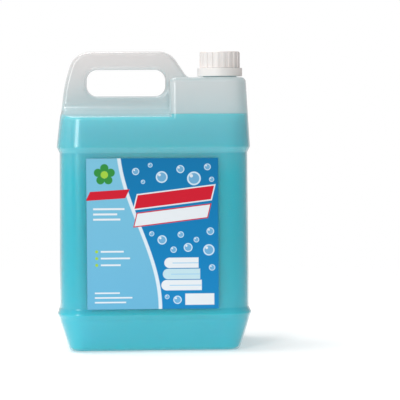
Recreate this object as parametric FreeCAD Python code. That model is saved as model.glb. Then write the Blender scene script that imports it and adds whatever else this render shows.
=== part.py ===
import FreeCAD, Part

import math
import os

# Five litre blow-moulded bottle with a hollow handle, screw cap and tamper band.
# Millimetres. +Z up, +X from the handle towards the cap, the label faces -Y.
# The origin is the centre of the base.

V = FreeCAD.Vector
os.makedirs("parts", exist_ok=True)

# Driving dimensions of the moulded body
wall = 1.2
bead_half_width = 94.7
half_depth = 68.0
handle_top_height = 292.0
plan_corner_radius = 25.0

# Side of the body: heights, and steps in from the widest bead
base_step = 11.9
base_edge_radius = 6.0
foot_groove_height = 29.8
foot_groove_step = 2.6
foot_groove_rise = 2.9
groove_top_step = 2.1
bead_height = 37.3
bead_radius = 3.0
panel_start_rise = 5.5
panel_start_height = bead_height + panel_start_rise
panel_step = 2.7
panel_taper = 1.0
ledge_drop = 93.1
ledge_height = handle_top_height - ledge_drop
ledge_step = 1.0
ledge_radius = 2.5
panel_end_drop = 5.4
panel_end_height = ledge_height - panel_end_drop
trunk_rise = 4.1
trunk_height = ledge_height + trunk_rise

# Hollow under the base
push_up_height = 3.5
push_up_margin = 14.0
push_up_draft = 6.0
push_up_corner_radius = 10.0

# Share of a rounding that its straight cut takes on the inside of the wall
inner_cut_share = 0.6

# Upper body: the handle side leans in more than the cap side
handle_side_lean = 0.116
cap_side_lean = 0.06
front_lean = 0.07

# Shoulder under the handle and block under the cap
shoulder_root_rise = 37.1
shoulder_root_height = ledge_height + shoulder_root_rise
shoulder_fall = 7.5
shoulder_edge_height = shoulder_root_height - shoulder_fall
shoulder_blend_radius = 8.0
neck_from_side = 27.6
neck_x = bead_half_width - neck_from_side
block_end_from_neck = 51.5
block_end_x = neck_x - block_end_from_neck
block_overlap = 10.0
deck_rise = 30.0
deck_height = shoulder_root_height + deck_rise
block_edge_radius = 6.0
deck_edge_radius = 5.0

# Handle
handle_half_thickness = 14.0
handle_edge_radius = 4.0
handle_foot_from_block = 18.9
handle_end_foot_x = block_end_x + handle_foot_from_block
handle_top_from_block = 1.3
handle_end_top_x = block_end_x + handle_top_from_block
handle_end_foot_radius = 9.0
handle_end_top_radius = 20.0
handle_corner_from_side = 17.7
handle_corner_x = -bead_half_width + handle_corner_from_side
handle_corner_radius = 21.0
handle_back_from_side = 8.8
handle_back_x = -bead_half_width + handle_back_from_side
handle_back_drop = 29.7
handle_back_height = handle_top_height - handle_back_drop
handle_back_radius = 100.0
handle_back_run = 30.0
handle_back_slope = 0.165
grip_from_back = 20.7
grip_left_x = handle_back_x + grip_from_back
grip_from_block = 2.4
grip_right_x = block_end_x - grip_from_block
grip_low_rise = 12.0
grip_low_height = shoulder_root_height + grip_low_rise
grip_high_drop = 17.7
grip_high_height = handle_top_height - grip_high_drop
grip_corner_radius = 10.5
grip_edge_radius = 4.0

# Neck
neck_radius = 16.3
neck_wall = 2.1
neck_bore_radius = neck_radius - neck_wall
neck_rise = 23.4
neck_lip_height = deck_height + neck_rise
neck_root_flare = 3.7
neck_root_radius = neck_radius + neck_root_flare
neck_root_rise = 1.2
neck_bead_step = 3.1
neck_bead_radius = neck_radius + neck_bead_step
neck_bead_lift = 6.6
neck_bead_height = deck_height + neck_bead_lift
neck_bead_rise = 1.6

# Thread, shared by the neck and the cap
thread_pitch = 4.2
thread_depth = 1.2
thread_foot_width = 2.0
thread_crest_width = 0.8
thread_turns = 1.6
thread_top_margin = 10.0
neck_thread_start = neck_lip_height - thread_top_margin
thread_crest_clearance = 0.35
thread_sink = 0.3

# Screw cap
cap_plate = 1.4
liner_thickness = 1.2
cap_top_height = neck_lip_height + liner_thickness + cap_plate
cap_thread_clearance = 0.4
cap_wall = 1.45
cap_skirt_radius = neck_radius + thread_depth + cap_thread_clearance + cap_wall
cap_rib_height = 0.6
cap_rib_count = 20
cap_rib_width = 2.0
cap_rib_sink = 1.0
cap_edge_radius = 1.0
cap_bottom_lift = 3.3
cap_bottom_height = neck_bead_height + cap_bottom_lift

# Liner disc pressed between cap and neck lip
liner_side_clearance = 0.4

# Tamper band
band_wall = 1.2
band_step = 2.9
band_radius = neck_bead_radius + band_step
band_lift = 1.5
band_low_height = deck_height + band_lift
band_cut = 0.3
band_flange = 1.2
band_flange_overlap = 0.5
band_edge_cut = 0.4
band_overlap = 0.2
finger_root_rise = 0.4
finger_tip_gap = 1.5
finger_count = 8
finger_share = 0.6
finger_thickness = 0.8
finger_drop = 0.5
nub_count = 8
nub_width = 0.8
nub_gap = 0.05

# Label film on the front panel
label_from_left_side = 29.5
label_left_x = -bead_half_width + label_from_left_side
label_from_right_side = 33.3
label_right_x = bead_half_width - label_from_right_side
label_low_margin = 0.4
label_low_height = panel_start_height + label_low_margin
label_high_margin = 5.0
label_high_height = panel_end_height - label_high_margin
label_thickness = 0.2
label_clearance = 0.02

# Liquid
fill_drop = 5.0
fill_height = shoulder_root_height - fill_drop
liquid_clearance = 0.2

# Far enough to pass every side, and near enough to be the same
reach = 150.0
fine = 0.01
near = 0.1


def plan_wire(z, left, right, half_y, corner):
    """Outline of a level section: four straight sides joined by four round corners."""
    points = (
        (left, -half_y, corner),
        (right, -half_y, corner),
        (right, half_y, corner),
        (left, half_y, corner),
    )
    return rounded_outline(points, lambda u, v: V(u, v, z))


def rounded_outline(points, place):
    """Closed outline through (u, v, size) corners: a round, a sharp corner at 0, a cut below 0."""
    corners = []
    for index, (u, v, radius) in enumerate(points):
        corner = V(u, v, 0)
        if radius == 0:
            corners.append((corner, None, corner))
            continue
        before = points[index - 1]
        after = points[(index + 1) % len(points)]
        to_before = (V(before[0], before[1], 0) - corner).normalize()
        to_after = (V(after[0], after[1], 0) - corner).normalize()
        if radius < 0:
            corners.append((corner - to_before * radius, None, corner - to_after * radius))
            continue
        half_angle = to_before.getAngle(to_after) / 2
        length = radius / math.tan(half_angle)
        bisector = (to_before + to_after).normalize()
        centre = corner + bisector * (radius / math.sin(half_angle))
        middle = centre - bisector * radius
        corners.append((corner + to_before * length, middle, corner + to_after * length))
    edges = []
    for index, (start, middle, end) in enumerate(corners):
        if middle is not None:
            arc = Part.Arc(place(start.x, start.y), place(middle.x, middle.y), place(end.x, end.y))
            edges.append(arc.toShape())
        elif (end - start).Length > fine:
            edges.append(Part.LineSegment(place(start.x, start.y), place(end.x, end.y)).toShape())
        following = corners[(index + 1) % len(corners)][0]
        if (following - end).Length > fine / 100:
            line = Part.LineSegment(place(end.x, end.y), place(following.x, following.y))
            edges.append(line.toShape())
    return Part.Wire(edges)


def grown(wire, distance):
    """The same outline moved outwards by distance, or inwards where it is negative."""
    if distance == 0:
        return wire
    return wire.makeOffset2D(distance, 2)


def boxed_edges(shape, test):
    """Edges whose bounding box passes the test."""
    return [edge for edge in shape.Edges if not edge.Degenerated and test(edge.BoundBox)]


def eased(shape, edges, inset, radius):
    """The shape with edges rounded outside, and cut straight inside where it is never seen."""
    if inset:
        return shape.makeChamfer(inner_cut_share * radius, edges)
    return shape.makeFillet(radius, edges)


def level_edges(shape, z):
    """Edges that lie in the level plane at z."""
    return boxed_edges(shape, lambda box: abs(box.ZMin - z) < fine and abs(box.ZMax - z) < fine)


def revolved(points, x):
    """Solid turned about the upright axis at x from (radius, height) corners."""
    corners = [V(x + radius, 0, height) for radius, height in points]
    face = Part.Face(Part.makePolygon(corners + corners[:1]))
    return face.revolve(V(x, 0, 0), V(0, 0, 1), 360)


def both_sides(shape):
    """The shape and its mirror image in the plane that halves the bottle's depth."""
    return [shape, shape.mirror(V(0, 0, 0), V(0, 1, 0))]


def softened(inset, radius):
    """Corner size: a round outside, and inside the straight cut that keeps the wall even."""
    return -inner_cut_share * radius if inset else radius


def side_profile(inset):
    """Side of the body from base to above the ledge: (distance in, height, corner size)."""
    return (
        (base_step + inset, inset, softened(inset, base_edge_radius - inset)),
        (foot_groove_step + inset, foot_groove_height, 0),
        (groove_top_step + inset, foot_groove_height + foot_groove_rise, 0),
        (inset, bead_height, 0 if inset else bead_radius),
        (panel_step + inset, panel_start_height, 0 if inset else bead_radius),
        (panel_step + panel_taper + inset, panel_end_height, 0 if inset else ledge_radius),
        (ledge_step + inset, ledge_height, 0 if inset else ledge_radius),
        (ledge_step + front_lean * (trunk_height - ledge_height) + inset, trunk_height, 0),
    )


def trunk(inset):
    """Body from base to just above the ledge: four turned corners, with straight sides between them."""
    corner_x = bead_half_width - plan_corner_radius
    corner_y = half_depth - plan_corner_radius
    low = (plan_corner_radius, inset, 0)
    high = (plan_corner_radius, trunk_height, 0)
    points = [low, *side_profile(inset), high]

    def prism(x_way, y_way, x, y, run):
        """Slab under the profile, drawn out along one side."""

        def place(u, v):
            out = plan_corner_radius - u
            return V(x + x_way * out, y + y_way * out, v)

        return Part.Face(rounded_outline(points, place)).extrude(run)

    corners = []
    for x_way in (1, -1):
        for y_way in (1, -1):
            x = x_way * corner_x
            y = y_way * corner_y
            upright = rounded_outline(points, lambda u, v: V(x + x_way * (plan_corner_radius - u), y, v))
            turned = Part.Face(upright).revolve(V(x, y, 0), V(0, 0, 1), 90.0 * x_way * y_way)
            corners.append(turned)
    sides = [
        prism(1, 0, corner_x, -corner_y, V(0, 2 * corner_y, 0)),
        prism(-1, 0, -corner_x, -corner_y, V(0, 2 * corner_y, 0)),
        prism(0, 1, -corner_x, corner_y, V(2 * corner_x, 0, 0)),
        prism(0, -1, -corner_x, -corner_y, V(2 * corner_x, 0, 0)),
    ]
    core = Part.makeBox(2 * corner_x, 2 * corner_y, trunk_height - inset, V(-corner_x, -corner_y, inset))
    return core.fuse(sides + corners).removeSplitter()


def upper_section(z, inset):
    """Level outline of the leaning upper body."""
    rise = z - trunk_height
    first = ledge_step + front_lean * (trunk_height - ledge_height)
    half_width = bead_half_width - first - inset
    half_y = half_depth - first - front_lean * rise - inset
    corner = plan_corner_radius - first - front_lean * rise - inset
    left = -half_width + handle_side_lean * rise
    right = half_width - cap_side_lean * rise
    return plan_wire(z, left, right, half_y, corner)


def tapered_body(inset):
    """Body from base to above the handle."""
    top = handle_top_height + reach / 10
    upper = Part.makeLoft([upper_section(trunk_height, inset), upper_section(top, inset)], True, True)
    return trunk(inset).fuse(upper)


def push_up(inset):
    """Hollow in the underside that the base stands around."""
    rings = []
    top = push_up_height + inset
    for height, margin in ((-wall, push_up_margin), (top, push_up_margin + push_up_draft)):
        half_width = bead_half_width - base_step - margin + inset
        half_y = half_depth - base_step - margin + inset
        rings.append(plan_wire(height, -half_width, half_width, half_y, push_up_corner_radius + inset))
    return Part.makeLoft(rings, True, True)


def side_outline(inset):
    """Outline of handle and deck seen from the front, as a prism through the depth."""
    back_low = handle_back_height - handle_back_run
    points = (
        (-reach, -reach, 0),
        (reach, -reach, 0),
        (reach, deck_height, 0),
        (handle_end_foot_x, deck_height, handle_end_foot_radius),
        (handle_end_top_x, handle_top_height, handle_end_top_radius),
        (handle_corner_x, handle_top_height, handle_corner_radius),
        (handle_back_x, handle_back_height, handle_back_radius),
        (handle_back_x - handle_back_slope * handle_back_run, back_low, 0),
        (-reach, back_low - handle_back_run, 0),
    )
    wire = rounded_outline(points, lambda u, v: V(u, -reach, v))
    return Part.Face(grown(wire, -inset)).extrude(V(0, 2 * reach, 0))


def shoulder_cut(inset):
    """What is left out in front of the handle: down its face, round, and out over the shoulder."""
    edge_y = half_depth - ledge_step
    slope = (shoulder_root_height - shoulder_edge_height) / (edge_y - handle_half_thickness)
    points = (
        (-handle_half_thickness, handle_top_height + reach, 0),
        (-handle_half_thickness, shoulder_root_height, shoulder_blend_radius),
        (-reach, shoulder_root_height - slope * (reach - handle_half_thickness), 0),
        (-reach, handle_top_height + reach, 0),
    )
    wire = rounded_outline(points, lambda u, v: V(-reach, u, v))
    return Part.Face(grown(wire, inset)).extrude(V(2 * reach, 0, 0))


def grip_hole(inset):
    """Opening for the fingers."""
    points = (
        (grip_left_x, grip_low_height, grip_corner_radius),
        (grip_right_x, grip_low_height, grip_corner_radius),
        (grip_right_x, grip_high_height, grip_corner_radius),
        (grip_left_x, grip_high_height, grip_corner_radius),
    )
    wire = rounded_outline(points, lambda u, v: V(u, -reach, v))
    return Part.Face(grown(wire, inset)).extrude(V(0, 2 * reach, 0))


def cap_block(inset):
    """Full-depth block that carries the neck, rounded along its end and its deck."""
    start = block_end_x + inset
    deck = deck_height - inset
    low = ledge_height + block_overlap
    keep = Part.makeBox(reach, 2 * reach, deck - low, V(start, -reach, low))
    block = tapered_body(inset).common(keep)
    uprights = boxed_edges(
        block, lambda box: abs(box.XMax - start) < near and box.ZMax - box.ZMin > shoulder_fall
    )
    block = eased(block, uprights, inset, block_edge_radius - inset)
    return eased(block, level_edges(block, deck), inset, deck_edge_radius - inset)


def handle_part(inset):
    """Body with shoulder and handle, before the block is added."""
    body = tapered_body(inset).common(side_outline(inset))
    body = body.cut(both_sides(shoulder_cut(inset)))
    body = body.removeSplitter()
    face = handle_half_thickness - inset
    low = shoulder_edge_height - shoulder_fall
    behind = handle_corner_x + handle_corner_radius
    blend_top = shoulder_root_height + shoulder_blend_radius + near

    def outer_edge(box):
        on_front = abs(box.YMin + face) < near and abs(box.YMax + face) < near
        on_back = abs(box.YMin - face) < near and abs(box.YMax - face) < near
        back_corner = box.XMax < behind and box.YMin * box.YMax > 0
        outer = max(abs(box.YMin), abs(box.YMax)) > 2 * handle_half_thickness
        crease = box.ZMax < shoulder_root_height and outer
        blend = box.ZMax < blend_top and box.XMax > behind
        if box.ZMin < low:
            return False
        if on_front or on_back:
            return not blend
        return back_corner or crease

    rims = [edge for edge in boxed_edges(body, outer_edge) if is_sharp(body, edge)]
    body = eased(body, rims, inset, handle_edge_radius - inset / 2)
    body = body.cut(grip_hole(inset))
    loops = boxed_edges(
        body,
        lambda box: abs(abs(box.YMin) - face) < near
        and abs(box.YMax - box.YMin) < near
        and box.XMin > grip_left_x - inset - near
        and box.XMax < grip_right_x + inset + near
        and box.ZMin > grip_low_height - inset - near
        and box.ZMax < grip_high_height + inset + near,
    )
    return eased(body, loops, inset, grip_edge_radius - inset / 2)


def is_sharp(shape, edge):
    """True where the two faces that meet at the edge turn by more than ten degrees."""
    faces = shape.ancestorsOfType(edge, Part.Face)
    if len(faces) != 2:
        return False
    point = edge.valueAt((edge.FirstParameter + edge.LastParameter) / 2)
    normals = [face.normalAt(*face.Surface.parameter(point)) for face in faces]
    return normals[0].getAngle(normals[1]) > math.radians(10)


def bottle_form(inset):
    """Closed form of the moulding, drawn in by the inset. Zero gives the outside."""
    form = handle_part(inset).fuse(cap_block(inset))
    return form.cut(push_up(inset))


def neck_outside():
    """Neck from inside the block to the lip, with its root cone and the bead that holds the band."""
    low = deck_height - block_edge_radius
    root_top = deck_height + neck_root_rise
    bead_low = neck_bead_height - neck_bead_rise / 2
    bead_high = neck_bead_height + neck_bead_rise / 2
    over = neck_bead_radius - neck_radius
    return revolved(
        (
            (0, low),
            (neck_root_radius, low),
            (neck_root_radius, deck_height),
            (neck_radius, root_top),
            (neck_radius, bead_low - over / 3),
            (neck_bead_radius, bead_low),
            (neck_bead_radius, bead_low + neck_bead_rise / 2),
            (neck_radius, bead_high + over),
            (neck_radius, neck_lip_height),
            (0, neck_lip_height),
        ),
        neck_x,
    )


def thread_ridge(foot_radius, crest_radius, start, turns):
    """Right-hand helical ridge about the neck axis, with its foot sunk into the wall."""
    outwards = 1 if crest_radius > foot_radius else -1
    sunk_radius = foot_radius - outwards * thread_sink
    half_foot = thread_foot_width / 2
    half_crest = thread_crest_width / 2
    half_sunk = half_foot + (half_foot - half_crest) * thread_sink / abs(crest_radius - foot_radius)
    corners = [
        V(sunk_radius, 0, -half_sunk),
        V(crest_radius, 0, -half_crest),
        V(crest_radius, 0, half_crest),
        V(sunk_radius, 0, half_sunk),
    ]
    profile = Part.makePolygon(corners + corners[:1])
    helix = Part.makeHelix(thread_pitch, thread_pitch * turns, sunk_radius)
    ridge = Part.Wire(helix).makePipeShell([Part.Wire(profile)], True, True)
    ridge.translate(V(neck_x, 0, start))
    return ridge


def bottle_shell():
    """Hollow moulding with handle, neck and thread, open at the lip."""
    outside = bottle_form(0.0).fuse(neck_outside())
    crest = neck_radius + thread_depth
    outside = outside.fuse(thread_ridge(neck_radius, crest, neck_thread_start, thread_turns))
    bore_low = deck_height - block_edge_radius - wall
    bore_length = neck_rise + neck_lip_height - bore_low
    bore = Part.makeCylinder(neck_bore_radius, bore_length, V(neck_x, 0, bore_low))
    return outside.cut([bottle_form(wall), bore])


def detergent():
    """Liquid up to the fill line, just clear of the wall."""
    liquid = bottle_form(wall + liquid_clearance)
    keep = Part.makeBox(2 * reach, 2 * reach, fill_height + wall, V(-reach, -reach, -wall))
    return liquid.common(keep)


def label():
    """Film that follows the front panel."""
    inner = panel_slab(-label_clearance)
    outer = panel_slab(-label_clearance - label_thickness)
    width = label_right_x - label_left_x
    height = label_high_height - label_low_height
    window = Part.makeBox(width, reach, height, V(label_left_x, -reach, label_low_height))
    return outer.cut(inner).common(window)


def panel_slab(inset):
    """Front panel's slab, moved out by a negative inset."""
    front = half_depth - panel_step - inset
    corners = [
        V(-bead_half_width, 0, panel_start_height),
        V(-bead_half_width, -front, panel_start_height),
        V(-bead_half_width, -front + panel_taper, panel_end_height),
        V(-bead_half_width, 0, panel_end_height),
    ]
    return Part.Face(Part.makePolygon(corners + corners[:1])).extrude(V(2 * bead_half_width, 0, 0))


def screw_cap():
    """Ribbed cap with a flat top and an internal thread."""
    skirt_inner = neck_radius + thread_depth + cap_thread_clearance
    body = Part.makeCylinder(
        cap_skirt_radius, cap_top_height - cap_bottom_height, V(neck_x, 0, cap_bottom_height)
    )
    body = body.makeFillet(cap_edge_radius, level_edges(body, cap_top_height))
    ribs = []
    rib_length = cap_top_height - cap_edge_radius - cap_bottom_height
    for index in range(cap_rib_count):
        rib = Part.makeBox(
            cap_rib_height + cap_rib_sink,
            cap_rib_width,
            rib_length,
            V(cap_skirt_radius - cap_rib_sink, -cap_rib_width / 2, cap_bottom_height),
        )
        rib.rotate(V(0, 0, 0), V(0, 0, 1), 360.0 * (index + 0.5) / cap_rib_count)
        rib.translate(V(neck_x, 0, 0))
        ribs.append(rib)
    body = body.fuse(ribs)
    room = Part.makeCylinder(
        skirt_inner, cap_top_height - cap_plate - cap_bottom_height, V(neck_x, 0, cap_bottom_height)
    )
    body = body.cut(room)
    crest = neck_radius + thread_crest_clearance
    start = neck_thread_start + thread_pitch / 2
    ridge = thread_ridge(skirt_inner, crest, start - thread_pitch, thread_turns)
    return body.fuse(ridge)


def cap_liner():
    """Sealing disc between the lip and the cap's plate."""
    radius = neck_radius + thread_depth + cap_thread_clearance - liner_side_clearance
    return Part.makeCylinder(radius, liner_thickness, V(neck_x, 0, neck_lip_height))


def tamper_band():
    """Band under the cap: wall, top flange, fingers hooked under the bead, and tie nubs."""
    top = cap_bottom_height - band_cut
    inner = band_radius - band_wall
    sunk = inner + band_overlap
    flange_inner = neck_bead_radius - band_flange_overlap
    wall_ring = revolved(
        ((inner, band_low_height), (band_radius, band_low_height), (band_radius, top), (inner, top)), neck_x
    )
    rims = boxed_edges(
        wall_ring,
        lambda box: box.XMax > neck_x + band_radius - near and box.ZMax - box.ZMin < near,
    )
    wall_ring = wall_ring.makeChamfer(band_edge_cut, rims)
    under = top - band_flange
    flange = revolved(((flange_inner, under), (sunk, under), (sunk, top), (flange_inner, top)), neck_x)
    bead_low = neck_bead_height - neck_bead_rise / 2
    tip = neck_x + neck_radius + (neck_bead_radius - neck_radius) / 3 + finger_tip_gap
    tip_height = bead_low - finger_drop - finger_thickness
    root = neck_x + sunk
    root_low = band_low_height + finger_root_rise
    corners = [
        V(root, 0, root_low),
        V(root, 0, root_low + finger_thickness),
        V(tip, 0, tip_height + finger_thickness),
        V(tip, 0, tip_height),
    ]
    finger_face = Part.Face(Part.makePolygon(corners + corners[:1]))
    fingers = []
    for index in range(finger_count):
        finger = finger_face.revolve(V(neck_x, 0, 0), V(0, 0, 1), 360.0 / finger_count * finger_share)
        finger.rotate(V(neck_x, 0, 0), V(0, 0, 1), 360.0 * index / finger_count)
        fingers.append(finger)
    nubs = []
    for index in range(nub_count):
        nub = Part.makeBox(
            nub_width,
            nub_width,
            band_cut - nub_gap + band_overlap,
            V(cap_skirt_radius - nub_width, -nub_width / 2, top - band_overlap),
        )
        nub.rotate(V(0, 0, 0), V(0, 0, 1), 360.0 * index / nub_count)
        nub.translate(V(neck_x, 0, 0))
        nubs.append(nub)
    return wall_ring.fuse([flange] + fingers + nubs)


builders = {
    "bottle_shell": bottle_shell,
    "detergent": detergent,
    "label": label,
    "screw_cap": screw_cap,
    "cap_liner": cap_liner,
    "tamper_band": tamper_band,
}

for name, build in builders.items():
    solid = build()
    box = solid.BoundBox
    low_corner = (round(box.XMin, 2), round(box.YMin, 2), round(box.ZMin, 2))
    high_corner = (round(box.XMax, 2), round(box.YMax, 2), round(box.ZMax, 2))
    volume = round(solid.Volume / 1000, 2)
    print(name, solid.isValid(), len(solid.Solids), volume, low_corner, high_corner, flush=True)
    solid.exportStep("parts/" + name + ".step")
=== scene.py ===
"""Five litre laundry detergent bottle: finishes, label print, stage, lamps and camera."""
import logging
import math
from dataclasses import dataclass, field
from enum import Enum

import bmesh
import bpy
from mathutils import Matrix, Vector


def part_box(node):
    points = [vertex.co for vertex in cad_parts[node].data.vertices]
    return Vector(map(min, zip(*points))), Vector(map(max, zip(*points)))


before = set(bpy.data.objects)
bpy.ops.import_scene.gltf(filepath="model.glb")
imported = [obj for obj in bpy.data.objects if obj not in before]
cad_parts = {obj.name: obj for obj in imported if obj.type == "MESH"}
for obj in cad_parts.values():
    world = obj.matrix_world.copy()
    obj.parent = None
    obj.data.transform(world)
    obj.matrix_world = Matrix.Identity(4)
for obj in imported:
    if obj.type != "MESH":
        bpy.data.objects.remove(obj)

logging.basicConfig(level=logging.INFO, format="%(message)s")
LOG = logging.getLogger("bottle")

MM = 0.001
WHITE = (1.0, 1.0, 1.0, 1.0)
# The span of values that a noise texture mostly gives.
NOISE_LOW = 0.3
NOISE_HIGH = 0.7


def linear(code: str) -> tuple[float, float, float, float]:
    """Turns an sRGB hex colour into linear values.

    Args:
        code: Six hex digits after a hash, such as "#1fa9bd".

    Returns:
        Red, green, blue and an alpha of one.
    """
    channels = []
    for start in (1, 3, 5):
        value = int(code[start:start + 2], 16) / 255
        channels.append(value / 12.92 if value <= 0.04045 else ((value + 0.055) / 1.055) ** 2.4)
    return (channels[0], channels[1], channels[2], 1.0)


def add_node(
    tree: bpy.types.NodeTree,
    kind: str,
    settings: dict | None = None,
    links: dict | None = None,
) -> bpy.types.Node:
    """Adds a node, sets its properties and sockets, and links sockets that come from others.

    Args:
        tree: The material's or world's node tree.
        kind: Blender's name of the node type.
        settings: Property names, or input names or numbers, with their values.
        links: Input names or numbers, with the output sockets that feed them.

    Returns:
        The new node.
    """
    node = tree.nodes.new(kind)
    for key, value in (settings or {}).items():
        if isinstance(key, str) and hasattr(node, key):
            setattr(node, key, value)
        else:
            node.inputs[key].default_value = value
    for key, output in (links or {}).items():
        tree.links.new(output, node.inputs[key])
    return node


def new_material(name: str) -> tuple[bpy.types.Material, bpy.types.NodeTree, bpy.types.Node]:
    """Makes an empty node material.

    Args:
        name: The material's name.

    Returns:
        The material, its tree and its output node.
    """
    material = bpy.data.materials.new(name)
    material.use_nodes = True
    tree = material.node_tree
    tree.nodes.clear()
    output = tree.nodes.new("ShaderNodeOutputMaterial")
    return material, tree, output


def dress(obj: bpy.types.Object, material: bpy.types.Material) -> None:
    """Gives an object one material in place of what it holds.

    Args:
        obj: The object.
        material: Its new finish.
    """
    if not obj.material_slots:
        obj.data.materials.append(material)
    for slot in obj.material_slots:
        slot.material = material


@dataclass(frozen=True)
class MilkyPolyethylene:
    """Natural high-density polyethylene, blow moulded: frosty where dry, clearer where liquid wets it.

    Lengths are in millimetres, and heights are over the floor.

    Attributes:
        name: The material's name.
        low_milk_with_painted_glow: Milk of the wall at and under the fill line, bluer with a painted glow
            of light from the liquid.
        high_milk_with_painted_light: Milk of the handle's top, painted whiter for the light that falls on
            it.
        dry_tint: What a dry wall does to the light that passes it.
        wet_tint: What a wet wall does to it.
        low_clear: Clear share of the wet wall, up to rise_height.
        wet_clear: Clear share of the wet wall at the fill line.
        dry_clear: Clear share of the dry wall over the fill line.
        high_clear: Clear share of the handle's top.
        edge_milk: Part of the clear share that is lost where the wall is seen edge on.
        edge_power: How near to edge on that loss begins.
        glow: Share of the milk that lets light through.
        ior: Refractive index of polyethylene.
        least_roughness: Roughness in the hollows of the grain.
        most_roughness: Roughness on its heights.
        ripple_size: Length of the shallow waves that a blown wall has.
        ripple_height: Their height.
        ripple_strength: Strength of their bump.
        grain_size: Size of the mould's grain, drawn coarser than the real 0.2 mm so that it shows.
        seam_width: Half the width of the mould's parting line.
        seam_height: Its height.
        seam_strength: Strength of its bump.
        line_blur: Half the height over which wet turns to dry.
        rise_height: Where the wet wall begins to get milkier.
        fill_height: The fill line.
        top_height: Top of the handle.
    """

    name: str = "milky_polyethylene"
    low_milk_with_painted_glow: str = "#e4eef0"
    high_milk_with_painted_light: str = "#fffaf8"
    dry_tint: str = "#fbfafa"
    wet_tint: str = "#f2fafb"
    low_clear: float = 0.965
    wet_clear: float = 0.8
    dry_clear: float = 0.62
    high_clear: float = 0.74
    edge_milk: float = 0.6
    edge_power: float = 3.0
    glow: float = 0.45
    ior: float = 1.54
    least_roughness: float = 0.16
    most_roughness: float = 0.25
    ripple_size: float = 26.0
    ripple_height: float = 0.1
    ripple_strength: float = 0.35
    grain_size: float = 2.4
    seam_width: float = 0.5
    seam_height: float = 0.25
    seam_strength: float = 0.6
    line_blur: float = 0.6
    rise_height: float = 170.0
    fill_height: float = 231.0
    top_height: float = 292.0

    def build(self) -> bpy.types.Material:
        """Builds the material: gloss and milk over a clear share, the milk painted bluer low and whiter
        high for light, with mould ripple and a parting line.
        """
        material, tree, output = new_material(self.name)
        place = add_node(tree, "ShaderNodeTexCoord").outputs["Object"]
        ripple = add_node(
            tree,
            "ShaderNodeTexNoise",
            {"Scale": 1 / (self.ripple_size * MM), "Detail": 2.0},
            {"Vector": place},
        )
        grain = add_node(
            tree,
            "ShaderNodeTexNoise",
            {"Scale": 1 / (self.grain_size * MM), "Detail": 1.0},
            {"Vector": place},
        )
        parts = add_node(tree, "ShaderNodeSeparateXYZ", links={"Vector": place})
        offset = add_node(tree, "ShaderNodeMath", {"operation": "ABSOLUTE"}, {0: parts.outputs["Y"]})
        seam = add_node(
            tree,
            "ShaderNodeMapRange",
            {"From Min": 0.0, "From Max": self.seam_width * MM, "To Min": 1.0, "To Max": 0.0},
            {"Value": offset.outputs[0]},
        )
        dry = add_node(
            tree,
            "ShaderNodeMapRange",
            {
                "From Min": (self.fill_height - self.line_blur) * MM,
                "From Max": (self.fill_height + self.line_blur) * MM,
            },
            {"Value": parts.outputs["Z"]},
        )
        height = add_node(
            tree,
            "ShaderNodeMapRange",
            {"From Min": self.fill_height * MM, "From Max": self.top_height * MM},
            {"Value": parts.outputs["Z"]},
        )
        # Painted light: the milk goes from a painted blue glow of the liquid at the fill line to a painted
        # whiter light at the handle's top.
        milk = add_node(
            tree,
            "ShaderNodeMix",
            {"data_type": "RGBA", 6: linear(self.low_milk_with_painted_glow), 7: linear(self.high_milk_with_painted_light)},
            {0: height.outputs[0]},
        )
        tint = add_node(
            tree,
            "ShaderNodeMix",
            {"data_type": "RGBA", 6: linear(self.wet_tint), 7: linear(self.dry_tint)},
            {0: dry.outputs[0]},
        )
        dry_share = add_node(
            tree,
            "ShaderNodeMapRange",
            {"To Min": self.dry_clear, "To Max": self.high_clear},
            {"Value": height.outputs[0]},
        )
        wet_share = add_node(
            tree,
            "ShaderNodeMapRange",
            {
                "From Min": self.rise_height * MM,
                "From Max": self.fill_height * MM,
                "To Min": self.low_clear,
                "To Max": self.wet_clear,
            },
            {"Value": parts.outputs["Z"]},
        )
        face_share = add_node(
            tree,
            "ShaderNodeMapRange",
            links={"Value": dry.outputs[0], "To Min": wet_share.outputs[0], "To Max": dry_share.outputs[0]},
        )
        # A wall seen edge on is a longer way through the milk.
        slant = add_node(tree, "ShaderNodeLayerWeight", {"Blend": 0.5})
        steep = add_node(
            tree,
            "ShaderNodeMath",
            {"operation": "POWER", 1: self.edge_power},
            {0: slant.outputs["Facing"]},
        )
        kept = add_node(
            tree,
            "ShaderNodeMath",
            {"operation": "MULTIPLY_ADD", 1: -self.edge_milk, 2: 1.0},
            {0: steep.outputs[0]},
        )
        clear_share = add_node(
            tree,
            "ShaderNodeMath",
            {"operation": "MULTIPLY"},
            {0: face_share.outputs[0], 1: kept.outputs[0]},
        )
        rough = add_node(
            tree,
            "ShaderNodeMapRange",
            {
                "From Min": NOISE_LOW,
                "From Max": NOISE_HIGH,
                "To Min": self.least_roughness,
                "To Max": self.most_roughness,
            },
            {"Value": grain.outputs["Fac"]},
        )
        wave = add_node(
            tree,
            "ShaderNodeBump",
            {"Strength": self.ripple_strength, "Distance": self.ripple_height * MM},
            {"Height": ripple.outputs["Fac"]},
        )
        bump = add_node(
            tree,
            "ShaderNodeBump",
            {"Strength": self.seam_strength, "Distance": self.seam_height * MM},
            {"Height": seam.outputs[0], "Normal": wave.outputs[0]},
        )
        milk_face = add_node(
            tree, "ShaderNodeBsdfDiffuse", links={"Color": milk.outputs[2], "Normal": bump.outputs[0]}
        )
        through = add_node(tree, "ShaderNodeBsdfTranslucent", links={"Color": milk.outputs[2]})
        body = add_node(
            tree, "ShaderNodeMixShader", {0: self.glow}, {1: milk_face.outputs[0], 2: through.outputs[0]}
        )
        clear = add_node(tree, "ShaderNodeBsdfTransparent", links={"Color": tint.outputs[2]})
        wall = add_node(
            tree,
            "ShaderNodeMixShader",
            links={0: clear_share.outputs[0], 1: body.outputs[0], 2: clear.outputs[0]},
        )
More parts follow.
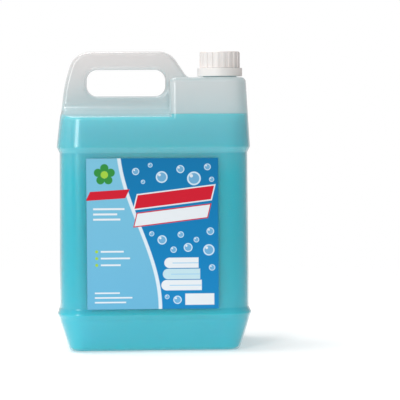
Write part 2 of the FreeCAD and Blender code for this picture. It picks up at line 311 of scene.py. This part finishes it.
        shine = add_node(
            tree,
            "ShaderNodeBsdfGlossy",
            {"Color": WHITE},
            {"Roughness": rough.outputs[0], "Normal": bump.outputs[0]},
        )
        fresnel = add_node(tree, "ShaderNodeFresnel", {"IOR": self.ior}, {"Normal": bump.outputs[0]})
        outside = add_node(tree, "ShaderNodeNewGeometry")
        front = add_node(
            tree, "ShaderNodeMath", {"operation": "SUBTRACT", 0: 1.0}, {1: outside.outputs["Backfacing"]}
        )
        shine_share = add_node(
            tree, "ShaderNodeMath", {"operation": "MULTIPLY"}, {0: fresnel.outputs[0], 1: front.outputs[0]}
        )
        mixed = add_node(
            tree,
            "ShaderNodeMixShader",
            links={0: shine_share.outputs[0], 1: wall.outputs[0], 2: shine.outputs[0]},
        )
        tree.links.new(mixed.outputs[0], output.inputs["Surface"])
        return material


@dataclass(frozen=True)
class TurquoiseLiquid:
    """Tinted liquid detergent: clear by the glass, a deep turquoise that scatters light by the litre.

    Lengths are in millimetres, and heights are over the floor.

    Attributes:
        name: The material's name.
        deep: Its colour low in the bottle.
        pale: Its colour at the fill line.
        roughness: Roughness of its face behind the frosty wall.
        ior: Refractive index, that of water.
        scatter: How far red, green and blue light spread in it, in metres.
        deep_height: Where it begins to get paler.
        fill_height: The fill line.
        drift_share: How much slow clouds in it change the colour.
        drift_size: Their size.
    """

    name: str = "turquoise_liquid"
    deep: str = "#02bfcf"
    pale: str = "#1ccfda"
    roughness: float = 0.3
    ior: float = 1.33
    scatter: tuple[float, float, float] = (0.006, 0.045, 0.052)
    deep_height: float = 120.0
    fill_height: float = 231.0
    drift_share: float = 0.25
    drift_size: float = 111.1

    def build(self) -> bpy.types.Material:
        """Builds the material, a little paler near its surface and in slow drifts."""
        material, tree, output = new_material(self.name)
        place = add_node(tree, "ShaderNodeTexCoord").outputs["Object"]
        drift = add_node(
            tree,
            "ShaderNodeTexNoise",
            {"Scale": 1 / (self.drift_size * MM), "Detail": 1.0},
            {"Vector": place},
        )
        parts = add_node(tree, "ShaderNodeSeparateXYZ", links={"Vector": place})
        height = add_node(
            tree,
            "ShaderNodeMapRange",
            {
                "From Min": self.deep_height * MM,
                "From Max": self.fill_height * MM,
                "To Max": 1.0 - self.drift_share,
            },
            {"Value": parts.outputs["Z"]},
        )
        share = add_node(
            tree,
            "ShaderNodeMath",
            {"operation": "MULTIPLY_ADD", 1: self.drift_share},
            {0: drift.outputs["Fac"], 2: height.outputs[0]},
        )
        colour = add_node(
            tree,
            "ShaderNodeMix",
            {"data_type": "RGBA", 6: linear(self.deep), 7: linear(self.pale)},
            {0: share.outputs[0]},
        )
        shader = add_node(
            tree,
            "ShaderNodeBsdfPrincipled",
            {
                "Roughness": self.roughness,
                "IOR": self.ior,
                "Subsurface Weight": 1.0,
                "Subsurface Radius": self.scatter,
                "Subsurface Scale": 1.0,
            },
            {"Base Color": colour.outputs[2]},
        )
        tree.links.new(shader.outputs[0], output.inputs["Surface"])
        return material


@dataclass(frozen=True)
class CapPolyethylene:
    """White polyethylene, injection moulded: opaque, satin, with a fine spark grain.

    Lengths are in millimetres.

    Attributes:
        name: The material's name.
        colour: Its white.
        shade: Its white in faint clouds of the colouring.
        cloud_size: Size of those clouds.
        least_roughness: Roughness in the hollows of the grain.
        most_roughness: Roughness on its heights.
        grain_size: Size of the grain, drawn coarser than the real 0.1 mm so that it shows.
        grain_height: Its height.
        grain_strength: Strength of its bump.
        ior: Refractive index of polyethylene.
        scatter: Share of light that spreads in it.
        scatter_radius: How far red, green and blue light spread in it, in metres.
    """

    name: str = "cap_polyethylene"
    colour: str = "#f4eeeb"
    shade: str = "#eee8e5"
    cloud_size: float = 16.67
    least_roughness: float = 0.33
    most_roughness: float = 0.45
    grain_size: float = 1.5
    grain_height: float = 0.05
    grain_strength: float = 0.2
    ior: float = 1.5
    scatter: float = 0.15
    scatter_radius: tuple[float, float, float] = (0.004, 0.0035, 0.003)

    def build(self) -> bpy.types.Material:
        """Builds the material with fine grain in its bump and roughness."""
        material, tree, output = new_material(self.name)
        place = add_node(tree, "ShaderNodeTexCoord").outputs["Object"]
        grain = add_node(
            tree,
            "ShaderNodeTexNoise",
            {"Scale": 1 / (self.grain_size * MM), "Detail": 2.0},
            {"Vector": place},
        )
        cloud = add_node(
            tree,
            "ShaderNodeTexNoise",
            {"Scale": 1 / (self.cloud_size * MM), "Detail": 2.0},
            {"Vector": place},
        )
        colour = add_node(
            tree,
            "ShaderNodeMix",
            {"data_type": "RGBA", 6: linear(self.colour), 7: linear(self.shade)},
            {0: cloud.outputs["Fac"]},
        )
        rough = add_node(
            tree,
            "ShaderNodeMapRange",
            {"To Min": self.least_roughness, "To Max": self.most_roughness},
            {"Value": grain.outputs["Fac"]},
        )
        bump = add_node(
            tree,
            "ShaderNodeBump",
            {"Strength": self.grain_strength, "Distance": self.grain_height * MM},
            {"Height": grain.outputs["Fac"]},
        )
        shader = add_node(
            tree,
            "ShaderNodeBsdfPrincipled",
            {"IOR": self.ior, "Subsurface Weight": self.scatter, "Subsurface Radius": self.scatter_radius},
            {"Base Color": colour.outputs[2], "Roughness": rough.outputs[0], "Normal": bump.outputs[0]},
        )
        tree.links.new(shader.outputs[0], output.inputs["Surface"])
        return material


@dataclass(frozen=True)
class LinerFoam:
    """Foamed polyethylene, cut from sheet: soft white, matt, with fine closed cells.

    Lengths are in millimetres.

    Attributes:
        name: The material's name.
        colour: Its white, between the cells.
        cell_painted_shade: Its white, painted darker in a cell for the shade in its hollow.
        roughness: Its roughness.
        ior: Refractive index of polyethylene.
        cell_size: Size of a cell.
        cell_depth: Depth of a cut cell.
        cell_strength: Strength of the cells' bump.
    """

    name: str = "liner_foam"
    colour: str = "#e9ecec"
    cell_painted_shade: str = "#d6dadb"
    roughness: float = 0.75
    ior: float = 1.5
    cell_size: float = 0.6
    cell_depth: float = 0.1
    cell_strength: float = 0.4

    def build(self) -> bpy.types.Material:
        """Builds the material, its cells in bump, with painted shade in each cell."""
        material, tree, output = new_material(self.name)
        place = add_node(tree, "ShaderNodeTexCoord").outputs["Object"]
        cells = add_node(
            tree, "ShaderNodeTexVoronoi", {"Scale": 1 / (self.cell_size * MM)}, {"Vector": place}
        )
        # Painted shade: each cell's middle, where the bump dips, is painted darker.
        colour = add_node(
            tree,
            "ShaderNodeMix",
            {"data_type": "RGBA", 6: linear(self.cell_painted_shade), 7: linear(self.colour)},
            {0: cells.outputs["Distance"]},
        )
        bump = add_node(
            tree,
            "ShaderNodeBump",
            {"Strength": self.cell_strength, "Distance": self.cell_depth * MM},
            {"Height": cells.outputs["Distance"]},
        )
        shader = add_node(
            tree,
            "ShaderNodeBsdfPrincipled",
            {"Roughness": self.roughness, "IOR": self.ior},
            {"Base Color": colour.outputs[2], "Normal": bump.outputs[0]},
        )
        tree.links.new(shader.outputs[0], output.inputs["Surface"])
        return material


class Form(Enum):
    """Simple shapes that the label's print is made of."""

    DISC = "disc"
    RING = "ring"
    BAR = "bar"


@dataclass(frozen=True)
class Motif:
    """One printed shape, in millimetres from the label's middle.

    Attributes:
        form: Its kind of shape.
        x: Its middle across the label.
        y: Its middle up the label.
        width: Half its width, or its radius.
        colour: Its colour.
        height: Half its height, for a bar, or its line width, for a ring.
        lean: How far a bar's ends lean, as width per height.
        slope: How far a bar climbs, as height per width.
        cover: How much of the print below it hides.
    """

    form: Form
    x: float
    y: float
    width: float
    colour: str
    height: float = 0.0
    lean: float = 0.0
    slope: float = 0.0
    cover: float = 1.0


@dataclass(frozen=True)
class PrintedFilm:
    """Gloss-laminated polypropylene film with two printed fields, plain shapes and no words.

    Lengths are in millimetres.

    Attributes:
        name: The material's name.
        left_top: Top of the pale field.
        left_low: Bottom of the pale field.
        right_top: Top of the deep field.
        right_low: Bottom of the deep field.
        wave: The band between the fields.
        red: The slanted bars.
        white: Plain lines, towels and spots of light.
        bubble: The bubbles, and the lines along the towels.
        bubble_light: The bubbles' rims.
        green: The flower's petals.
        leaf: The flower's heart, and the dots of the list.
        mint: The middle towel.
        roughness: Roughness of the laminate.
        ior: Refractive index of polypropylene.
        specular: Strength of its shine, where a bare film has 0.5.
        edge: Half the width over which a shape's edge goes soft.
        wave_width: Width of the band between the fields.
        wave_soft: Half the share of that width over which its edges go soft.
        wave_swing: How far the band swings to each side.
        wave_place: Middle of its swing, across the label.
        wave_turns: Half turns that it makes over the label's height.
        bar_lean: How far the ends of the two large bars lean.
        bar_slope: How far those bars climb.
        petals: Number of the flower's petals.
        petal_share: Radius of a petal, as a share of the flower's size.
        heart_share: Radius of its heart, as such a share.
        rim_share: Width of a bubble's rim, as a share of its radius.
        spot_place: How far left and up its spot of light lies, as such a share.
        spot_share: Radius of that spot, as such a share.
        towel_half: Half the thickness of a folded towel.
        towel_gap: Gap between two towels.
        towel_step: How much narrower on each side a towel is than the one below it.
        fold_half: Half the thickness of the line along a towel.
        fold_drop: How far under its middle that line lies.
        creep_size: Size of the faint hollows that a film gets from the wall behind it.
        creep_height: Their depth.
        creep_strength: Strength of their bump.
    """

    name: str = "printed_film"
    left_top: str = "#78bcd6"
    left_low: str = "#64aed0"
    right_top: str = "#0071a6"
    right_low: str = "#0080bc"
    wave: str = "#d5e2ea"
    red: str = "#c9142c"
    white: str = "#dfe4e8"
    bubble: str = "#8cc4e4"
    bubble_light: str = "#d6e8f2"
    green: str = "#2f8a3c"
    leaf: str = "#9cc83f"
    mint: str = "#bcd9e2"
    roughness: float = 0.32
    ior: float = 1.49
    specular: float = 0.25
    edge: float = 0.25
    wave_width: float = 3.4
    wave_soft: float = 0.1
    wave_swing: float = 20.0
    wave_place: float = -13.0
    wave_turns: float = 0.9
    bar_lean: float = 0.25
    bar_slope: float = -0.12
    petals: int = 5
    petal_share: float = 0.62
    heart_share: float = 0.55
    rim_share: float = 0.22
    spot_place: float = 0.38
    spot_share: float = 0.24
    towel_half: float = 5.0
    towel_gap: float = 0.8
    towel_step: float = 1.5
    fold_half: float = 0.35
    fold_drop: float = 0.2
    creep_size: float = 25.0
    creep_height: float = 0.1
    creep_strength: float = 0.25

    def motifs(self) -> list[Motif]:
        """Lists the printed shapes from the bottom layer to the top one."""
        shapes = self.flower(-46.0, 57.0, 6.4)
        shapes += self.bubbles()
        shapes.append(Motif(Form.BAR, -43.0, 37.5, 19.0, self.red, height=4.2, lean=0.5, slope=-0.06))
        shapes += self.slanted_bar(21.0, 35.0, 38.0, 7.6, 1.2, (self.white, self.red))
        shapes += self.slanted_bar(19.0, 17.5, 36.0, 6.9, 1.0, (self.red, self.white))
        shapes += self.lines(-57.0, 24.0, 5.0, (15.0, 11.5, 13.0), 0.9)
        shapes += [Motif(Form.DISC, -54.0, y, 1.5, self.leaf) for y in (-17.0, -23.5, -30.0)]
        shapes += self.lines(-50.0, -17.0, 6.5, (11.0, 14.0, 9.5), 0.8)
        shapes += self.folded_towels(30.0, -39.0, 17.0)
        shapes.append(Motif(Form.BAR, 45.0, -63.5, 14.0, self.white, height=5.5))
        shapes += self.lines(-56.0, -57.0, 4.5, (12.0, 18.0, 15.0), 0.7)
        return shapes

    def slanted_bar(
        self, x: float, y: float, width: float, height: float, rim: float, colours: tuple[str, str]
    ) -> list[Motif]:
        """A large slanted bar with a rim.

        Args:
            x: Its middle across the label.
            y: Its middle up the label.
            width: Half its width.
            height: Half its height.
            rim: Width of its rim.
            colours: Colour of the rim and of what it frames.

        Returns:
            Its shapes.
        """
        return [
            Motif(
                Form.BAR,
                x,
                y,
                width - less,
                colour,
                height=height - less,
                lean=self.bar_lean,
                slope=self.bar_slope,
            )
            for less, colour in zip((0.0, rim), colours)
        ]

    def lines(
        self, left: float, top: float, pitch: float, halves: tuple[float, ...], height: float
    ) -> list[Motif]:
        """Plain lines, one under the other, with their left ends in line.

        Args:
            left: Their left ends.
            top: Middle of the first line, up the label.
            pitch: Step from one line to the next.
            halves: Half the length of each.
            height: Half their thickness.

        Returns:
            Their shapes.
        """
        return [
            Motif(Form.BAR, left + half, top - pitch * step, half, self.white, height=height)
            for step, half in enumerate(halves)
        ]

    def flower(self, x: float, y: float, size: float) -> list[Motif]:
        """Round petals about a pale heart.

        Args:
            x: Its middle across the label.
            y: Its middle up the label.
            size: How far the petals' middles lie from its own.

        Returns:
            Its shapes.
        """
        shapes = []
        for step in range(self.petals):
            angle = math.radians(90 + 360 / self.petals * step)
            petal_x = x + size * math.cos(angle)
            petal_y = y + size * math.sin(angle)
            shapes.append(Motif(Form.DISC, petal_x, petal_y, self.petal_share * size, self.green))
        shapes.append(Motif(Form.DISC, x, y, self.heart_share * size, self.leaf))
        return shapes

    def bubbles(self) -> list[Motif]:
        """Round bubbles that rise over both fields, each with a rim and a spot of light."""
        places = (
            (-16.0, 60.0, 3.4), (-2.0, 66.0, 2.2), (9.0, 54.5, 5.6), (27.0, 62.0, 3.8), (40.0, 53.0, 6.6),
            (53.0, 64.0, 3.2), (57.0, 52.0, 2.4), (-9.0, 50.0, 2.0), (-1.0, 0.0, 2.4), (9.0, -6.0, 4.4),
            (27.0, -1.0, 3.0), (55.5, 2.0, 3.6), (42.0, -6.0, 2.6), (54.0, -16.0, 5.4), (20.0, -15.5, 3.0),
            (34.0, -13.5, 4.2), (57.0, -33.0, 3.0), (13.5, -61.0, 2.2), (23.5, -64.0, 4.0),
        )
        shapes = []
        for x, y, radius in places:
            shapes.append(Motif(Form.DISC, x, y, radius, self.bubble, cover=0.55))
            rim = self.rim_share * radius
            shapes.append(Motif(Form.RING, x, y, radius, self.bubble_light, height=rim, cover=0.8))
            away = self.spot_place * radius
            spot = self.spot_share * radius
            shapes.append(Motif(Form.DISC, x - away, y + away, spot, self.white, cover=0.9))
        return shapes

    def folded_towels(self, x: float, y: float, half_width: float) -> list[Motif]:
        """A pile of three folded towels, each with a round fold on its left.

        Args:
            x: Middle of the pile across the label.
            y: Middle of the pile up the label.
            half_width: Half the width of the widest towel.

        Returns:
            Its shapes, from the bottom towel to the top one.
        """
        shapes = []
        inset = self.towel_step
        for step, colour in enumerate((self.white, self.mint, self.white)):
            towel_y = y + (step - 1) * (2 * self.towel_half + self.towel_gap)
            width = half_width - inset * step
            fold_y = towel_y - self.fold_drop
            shapes.append(Motif(Form.BAR, x, towel_y, width, colour, height=self.towel_half))
            shapes.append(Motif(Form.DISC, x - width, towel_y, self.towel_half, colour))
            fold = width - inset
            shapes.append(Motif(Form.BAR, x + inset, fold_y, fold, self.bubble, height=self.fold_half))
        return shapes

    def cover(
        self,
        tree: bpy.types.NodeTree,
        across: bpy.types.NodeSocket,
        up: bpy.types.NodeSocket,
        motif: Motif,
    ) -> bpy.types.NodeSocket:
        """Works out how much of one motif lies over each place.

        Args:
            tree: The film's node tree.
            across: Place across the label, in millimetres.
            up: Place up the label, in millimetres.
            motif: The shape.

        Returns:
            A share from none to the motif's cover.
        """
        x = add_node(tree, "ShaderNodeMath", {"operation": "SUBTRACT", 1: motif.x}, {0: across}).outputs[0]
        y = add_node(tree, "ShaderNodeMath", {"operation": "SUBTRACT", 1: motif.y}, {0: up}).outputs[0]
        if motif.form is Form.BAR:
            y = add_node(
                tree, "ShaderNodeMath", {"operation": "MULTIPLY_ADD", 1: motif.slope}, {0: x, 2: y}
            ).outputs[0]
            x = add_node(
                tree, "ShaderNodeMath", {"operation": "MULTIPLY_ADD", 1: -motif.lean}, {0: y, 2: x}
            ).outputs[0]
            outside = []
            for place, half in ((x, motif.width), (y, motif.height)):
                size = add_node(tree, "ShaderNodeMath", {"operation": "ABSOLUTE"}, {0: place})
                over = add_node(
                    tree, "ShaderNodeMath", {"operation": "SUBTRACT", 1: half}, {0: size.outputs[0]}
                )
                outside.append(over.outputs[0])
            distance = add_node(
                tree, "ShaderNodeMath", {"operation": "MAXIMUM"}, {0: outside[0], 1: outside[1]}
            ).outputs[0]
        else:
            joined = add_node(tree, "ShaderNodeCombineXYZ", links={"X": x, "Y": y})
            away = add_node(tree, "ShaderNodeVectorMath", {"operation": "LENGTH"}, {0: joined.outputs[0]})
            distance = add_node(
                tree,
                "ShaderNodeMath",
                {"operation": "SUBTRACT", 1: motif.width},
                {0: away.outputs["Value"]},
            ).outputs[0]
            if motif.form is Form.RING:
                middle = add_node(
                    tree, "ShaderNodeMath", {"operation": "ADD", 1: motif.height / 2}, {0: distance}
                )
                size = add_node(tree, "ShaderNodeMath", {"operation": "ABSOLUTE"}, {0: middle.outputs[0]})
                distance = add_node(
                    tree,
                    "ShaderNodeMath",
                    {"operation": "SUBTRACT", 1: motif.height / 2},
                    {0: size.outputs[0]},
                ).outputs[0]
        share = add_node(
            tree,
            "ShaderNodeMapRange",
            {"From Min": -self.edge, "From Max": self.edge, "To Min": motif.cover, "To Max": 0.0},
            {"Value": distance},
        )
        return share.outputs[0]

    def fields(
        self, tree: bpy.types.NodeTree, across: bpy.types.NodeSocket, height: bpy.types.NodeSocket
    ) -> bpy.types.NodeSocket:
        """Prints the pale field and the deep one, which meet along a pale wave.

        Args:
            tree: The film's node tree.
            across: Place across the label, in millimetres.
            height: Share of the label's height.

        Returns:
            The colour of the ground.
        """
        tones = []
        for low, high in ((self.left_low, self.left_top), (self.right_low, self.right_top)):
            tone = add_node(
                tree, "ShaderNodeMix", {"data_type": "RGBA", 6: linear(low), 7: linear(high)}, {0: height}
            )
            tones.append(tone.outputs[2])
        turn = add_node(
            tree, "ShaderNodeMath", {"operation": "MULTIPLY", 1: math.pi * self.wave_turns}, {0: height}
        )
        swing = add_node(tree, "ShaderNodeMath", {"operation": "COSINE"}, {0: turn.outputs[0]})
        border = add_node(
            tree,
            "ShaderNodeMath",
            {"operation": "MULTIPLY_ADD", 1: self.wave_swing, 2: self.wave_place},
            {0: swing.outputs[0]},
        )
        past = add_node(
            tree, "ShaderNodeMath", {"operation": "SUBTRACT"}, {0: across, 1: border.outputs[0]}
        )
        split = add_node(
            tree,
            "ShaderNodeMapRange",
            {"From Min": -self.edge, "From Max": self.edge},
            {"Value": past.outputs[0]},
        )
        ground = add_node(
            tree,
            "ShaderNodeMix",
            {"data_type": "RGBA"},
            {0: split.outputs[0], 6: tones[0], 7: tones[1]},
        )
        size = add_node(tree, "ShaderNodeMath", {"operation": "ABSOLUTE"}, {0: past.outputs[0]})
        band = add_node(
            tree,
            "ShaderNodeMapRange",
            {
                "From Min": (0.5 - self.wave_soft) * self.wave_width,
                "From Max": (0.5 + self.wave_soft) * self.wave_width,
                "To Min": 1.0,
                "To Max": 0.0,
            },
            {"Value": size.outputs[0]},
        )
        waved = add_node(
            tree,
            "ShaderNodeMix",
            {"data_type": "RGBA", 7: linear(self.wave)},
            {0: band.outputs[0], 6: ground.outputs[2]},
        )
        return waved.outputs[2]

    def build(self) -> bpy.types.Material:
        """Builds the material: ground, motifs one over the other, and a laminate with faint hollows."""
        material, tree, output = new_material(self.name)
        place = add_node(tree, "ShaderNodeTexCoord").outputs["Object"]
        parts = add_node(tree, "ShaderNodeSeparateXYZ", links={"Vector": place})
        low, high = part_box("label")
        measures = []
        for axis in (0, 2):
            middle = (low[axis] + high[axis]) / 2
            scaled = add_node(
                tree,
                "ShaderNodeMath",
                {"operation": "MULTIPLY_ADD", 1: 1 / MM, 2: -middle / MM},
                {0: parts.outputs["XYZ"[axis]]},
            )
            measures.append(scaled.outputs[0])
        across, up = measures
        half_height = (high[2] - low[2]) / 2 / MM
        height = add_node(
            tree, "ShaderNodeMapRange", {"From Min": -half_height, "From Max": half_height}, {"Value": up}
        )
        colour = self.fields(tree, across, height.outputs[0])
        for motif in self.motifs():
            layer = add_node(
                tree,
                "ShaderNodeMix",
                {"data_type": "RGBA", 7: linear(motif.colour)},
                {0: self.cover(tree, across, up, motif), 6: colour},
            )
            colour = layer.outputs[2]
        creep = add_node(
            tree,
            "ShaderNodeTexNoise",
            {"Scale": 1 / (self.creep_size * MM), "Detail": 2.0},
            {"Vector": place},
        )
        bump = add_node(
            tree,
            "ShaderNodeBump",
            {"Strength": self.creep_strength, "Distance": self.creep_height * MM},
            {"Height": creep.outputs["Fac"]},
        )
        shader = add_node(
            tree,
            "ShaderNodeBsdfPrincipled",
            {"Roughness": self.roughness, "IOR": self.ior, "Specular IOR Level": self.specular},
            {"Base Color": colour, "Normal": bump.outputs[0]},
        )
        tree.links.new(shader.outputs[0], output.inputs["Surface"])
        return material


@dataclass(frozen=True)
class Lamp:
    """One soft rectangular lamp.

    Attributes:
        name: Its name.
        at: Its place, in metres.
        size: Its width and height, in metres.
        power: Its power, in watts.
    """

    name: str
    at: tuple[float, float, float]
    size: tuple[float, float]
    power: float


@dataclass
class Stage:
    """White floor that fades into a white surround, with soft lamps from the left.

    Lengths are in metres.

    Attributes:
        floor_size: Width of the floor.
        floor_colour: Its colour.
        floor_glow: Its own light, which softens the object's shadow.
        fade_start: How far from the object it begins to fade.
        fade_end: Where it has faded out.
        surround_light: Brightness of the surround as a light.
        aim_height: Height at which the lamps look.
        lamps: The lamps.
    """

    floor_size: float = 4.0
    floor_colour: str = "#f2f2f2"
    floor_glow: float = 0.35
    fade_start: float = 0.35
    fade_end: float = 0.9
    surround_light: float = 0.42
    aim_height: float = 0.14
    lamps: tuple[Lamp, ...] = (
        Lamp("key", (-1.6, -0.7, 0.6), (0.8, 1.2), 2.0),
        Lamp("front", (-1.0, -2.1, 0.9), (0.65, 1.3), 24.0),
        Lamp("top", (-0.5, 0.1, 1.7), (1.0, 1.0), 17.0),
    )

    def world(self) -> None:
        """Makes the surround: white to the eye, softer as a light."""
        world = bpy.data.worlds.new("surround")
        bpy.context.scene.world = world
        world.use_nodes = True
        tree = world.node_tree
        tree.nodes.clear()
        path = add_node(tree, "ShaderNodeLightPath")
        strength = add_node(
            tree,
            "ShaderNodeMapRange",
            {"To Min": self.surround_light, "To Max": 1.0},
            {"Value": path.outputs["Is Camera Ray"]},
        )
        light = add_node(
            tree, "ShaderNodeBackground", {"Color": WHITE}, {"Strength": strength.outputs[0]}
        )
        output = tree.nodes.new("ShaderNodeOutputWorld")
        tree.links.new(light.outputs[0], output.inputs["Surface"])

    def floor(self) -> None:
        """Makes the floor, which keeps the object's shadow and fades out farther off."""
        mesh = bpy.data.meshes.new("floor")
        build = bmesh.new()
        bmesh.ops.create_grid(build, x_segments=1, y_segments=1, size=self.floor_size / 2)
        build.to_mesh(mesh)
        build.free()
        obj = bpy.data.objects.new("floor", mesh)
        bpy.context.scene.collection.objects.link(obj)
        material, tree, output = new_material("floor")
        place = add_node(tree, "ShaderNodeTexCoord").outputs["Object"]
        away = add_node(tree, "ShaderNodeVectorMath", {"operation": "LENGTH"}, {0: place})
        fade = add_node(
            tree,
            "ShaderNodeMapRange",
            {"interpolation_type": "SMOOTHSTEP", "From Min": self.fade_start, "From Max": self.fade_end},
            {"Value": away.outputs["Value"]},
        )
        white = add_node(tree, "ShaderNodeBsdfDiffuse", {"Color": linear(self.floor_colour)})
        glow = add_node(
            tree, "ShaderNodeEmission", {"Color": WHITE, "Strength": self.floor_glow}
        )
        both = add_node(tree, "ShaderNodeAddShader", links={0: white.outputs[0], 1: glow.outputs[0]})
        clear = add_node(tree, "ShaderNodeBsdfTransparent")
        mixed = add_node(
            tree, "ShaderNodeMixShader", links={0: fade.outputs[0], 1: both.outputs[0], 2: clear.outputs[0]}
        )
        tree.links.new(mixed.outputs[0], output.inputs["Surface"])
        dress(obj, material)

    def add_lamp(self, lamp: Lamp) -> None:
        """Adds a lamp that looks at the bottle.

        Args:
            lamp: Its place, size and power.
        """
        data = bpy.data.lights.new(lamp.name, "AREA")
        data.shape = "RECTANGLE"
        data.size, data.size_y = lamp.size
        data.energy = lamp.power
        obj = bpy.data.objects.new(lamp.name, data)
        obj.location = lamp.at
        aim = Vector((0.0, 0.0, self.aim_height)) - Vector(lamp.at)
        obj.rotation_euler = aim.to_track_quat("-Z", "Y").to_euler()
        bpy.context.scene.collection.objects.link(obj)

    def build(self) -> None:
        """Makes surround, floor and lamps."""
        self.world()
        self.floor()
        for lamp in self.lamps:
            self.add_lamp(lamp)


@dataclass
class ViewPoint:
    """Camera at the height of the bottle's shoulder, far off, a little to its left.

    Attributes:
        distance: How far it stands from the bottle's middle line, in metres.
        height: Its height, in metres.
        azimuth: How far to the right it stands, in degrees.
        pan: How far it turns to the right of the bottle's middle line, in degrees.
        pitch: How far it looks up, in degrees.
        roll: Its tilt about its own axis, in degrees.
        focal_pixels: Focal length, in pixels of the photograph.
        frame_pixels: Width of the photograph, in pixels.
        sensor: Width of the sensor, in millimetres.
        far_clip: How far it sees, in metres.
    """

    distance: float = 1.8
    height: float = 0.245
    azimuth: float = -1.2
    pan: float = 1.49
    pitch: float = -3.197
    roll: float = -0.3
    focal_pixels: float = 1808.0
    frame_pixels: float = 400.0
    sensor: float = 36.0
    far_clip: float = 100.0

    def build(self) -> None:
        """Makes the camera and sets it as the scene's."""
        data = bpy.data.cameras.new("camera")
        data.sensor_width = self.sensor
        data.lens = self.sensor * self.focal_pixels / self.frame_pixels
        data.clip_end = self.far_clip
        obj = bpy.data.objects.new("camera", data)
        around = math.radians(self.azimuth)
        obj.location = (self.distance * math.sin(around), -self.distance * math.cos(around), self.height)
        turn = Matrix.Rotation(around - math.radians(self.pan), 4, "Z")
        tilt = Matrix.Rotation(math.radians(90.0 + self.pitch), 4, "X")
        obj.rotation_euler = (turn @ tilt @ Matrix.Rotation(math.radians(self.roll), 4, "Z")).to_euler()
        bpy.context.scene.collection.objects.link(obj)
        bpy.context.scene.camera = obj


@dataclass
class Moulding:
    """The blow-moulded bottle and its liquid, as packed."""

    wall: MilkyPolyethylene = field(default_factory=MilkyPolyethylene)
    liquid: TurquoiseLiquid = field(default_factory=TurquoiseLiquid)

    def build(self) -> list[str]:
        """Dresses the nodes and returns their names."""
        dress(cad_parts["bottle_shell"], self.wall.build())
        dress(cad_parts["detergent"], self.liquid.build())
        return ["bottle_shell", "detergent"]


@dataclass
class Closure:
    """Cap, band and liner, as packed."""

    plastic: CapPolyethylene = field(default_factory=CapPolyethylene)
    foam: LinerFoam = field(default_factory=LinerFoam)

    def build(self) -> list[str]:
        """Dresses the nodes and returns their names."""
        moulded = self.plastic.build()
        for name in ("screw_cap", "tamper_band"):
            dress(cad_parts[name], moulded)
        dress(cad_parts["cap_liner"], self.foam.build())
        return ["screw_cap", "tamper_band", "cap_liner"]


@dataclass
class FrontLabel:
    """The film on the front panel."""

    film: PrintedFilm = field(default_factory=PrintedFilm)

    def build(self) -> list[str]:
        """Dresses the film and returns its name."""
        dress(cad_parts["label"], self.film.build())
        return ["label"]


def main() -> None:
    """Builds the classes in order."""
    scene = bpy.context.scene
    scene.view_settings.view_transform = "Standard"
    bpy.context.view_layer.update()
    ViewPoint().build()
    Stage().build()
    for part in (Moulding(), Closure(), FrontLabel()):
        for name in part.build():
            LOG.info("piece %s", name)


if __name__ == "__main__":
    main()
